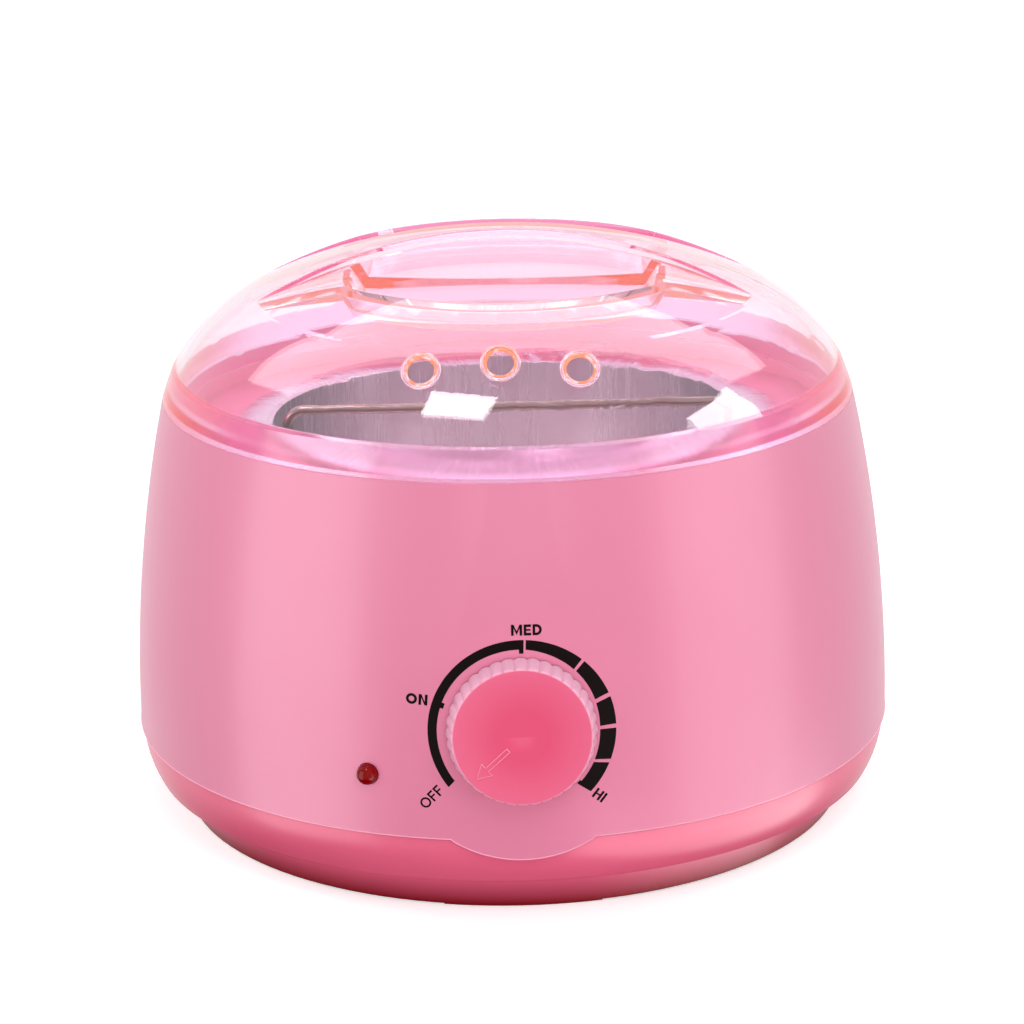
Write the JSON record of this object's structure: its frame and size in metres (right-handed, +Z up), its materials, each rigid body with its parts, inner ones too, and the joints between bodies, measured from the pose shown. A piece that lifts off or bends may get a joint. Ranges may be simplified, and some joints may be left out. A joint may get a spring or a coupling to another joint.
{
  "type": "depilatory wax heater",
  "caption": "Round electric wax heater: moulded two-part housing with a fluted thermostat knob and pilot lens, lift-out aluminium pot with wire bail, clear domed lid.",
  "frame": {"origin": "middle of the base, on the surface that the feet stand on", "axes": "+Z up, the knob faces -Y, +X to the right of someone who faces the knob"},
  "size_m": [0.185, 0.1952, 0.1412],
  "materials": {
    "shell_pink": "glossy moulded plastic",
    "base_pink": "glossy moulded plastic",
    "lid_clear": "clear tinted plastic",
    "knob_pink": "satin moulded plastic",
    "lens_red": "clear tinted plastic",
    "foot_rubber": "matt",
    "grommet_rubber": "matt",
    "pot_aluminium": "spun, brushed along the wall",
    "well_aluminium": "pressed, satin",
    "bail_steel": "drawn wire, polished",
    "zinc_steel": "zinc plated",
    "sheet_steel": "zinc plated sheet",
    "brass_parts": "turned",
    "bimetal": "rolled strip",
    "mica_band": "mica sheet",
    "fuse_sleeve": "woven glass sleeve",
    "ceramic_block": "matt steatite",
    "lamp_glass": "clear",
    "nylon_white": "moulded",
    "lead_sleeve": "silicone insulation"
  },
  "bodies": {
    "housing": {"upper_housing": "shell_pink", "base_pan": "base_pink", "rubber_feet": "foot_rubber", "case_screws": "zinc_steel", "heating_well": "well_aluminium", "well_screws": "zinc_steel", "heater_band": "mica_band", "band_clamp": "sheet_steel", "band_clamp_screw": "zinc_steel", "thermal_fuse": "fuse_sleeve", "fuse_clip": "sheet_steel", "fuse_clip_screws": "zinc_steel", "thermostat_bush": "brass_parts", "thermostat_nut": "zinc_steel", "thermostat_body": "ceramic_block", "thermostat_blade": "bimetal", "thermostat_bracket": "sheet_steel", "bracket_screws": "zinc_steel", "indicator_lens": "lens_red", "pilot_lamp": "lamp_glass", "lamp_holder": "nylon_white", "terminal_block": "nylon_white", "terminal_screws": "brass_parts", "cord_grommet": "grommet_rubber", "cord_clamp": "nylon_white", "cord_clamp_screws": "zinc_steel", "lead_wires": "lead_sleeve"},
    "pot": {"wax_pot": "pot_aluminium"},
    "bail": {"pot_bail": "bail_steel"},
    "lid": {"lid": "lid_clear"},
    "knob": {"control_knob": "knob_pink", "thermostat_spindle": "zinc_steel"}
  },
  "joints": [
    {"name": "pot_lift", "type": "slide", "parent": "housing", "child": "pot", "axis": [0, 0, 1], "range_m": [0, 0.075]},
    {"name": "lid_lift", "type": "slide", "parent": "pot", "child": "lid", "axis": [0, 0, 1], "range_m": [0, 0.06]},
    {"name": "bail_swing", "type": "hinge", "parent": "pot", "child": "bail", "pos_m": [0, 0, 0.0879], "axis": [1, 0, 0], "range_deg": [-90, 90]},
    {"name": "knob_turn", "type": "hinge", "parent": "housing", "child": "knob", "pos_m": [0, -0.09157, 0.047], "axis": [0, -0.9975, 0.0713], "range_deg": [-265, 0]}
  ]
}
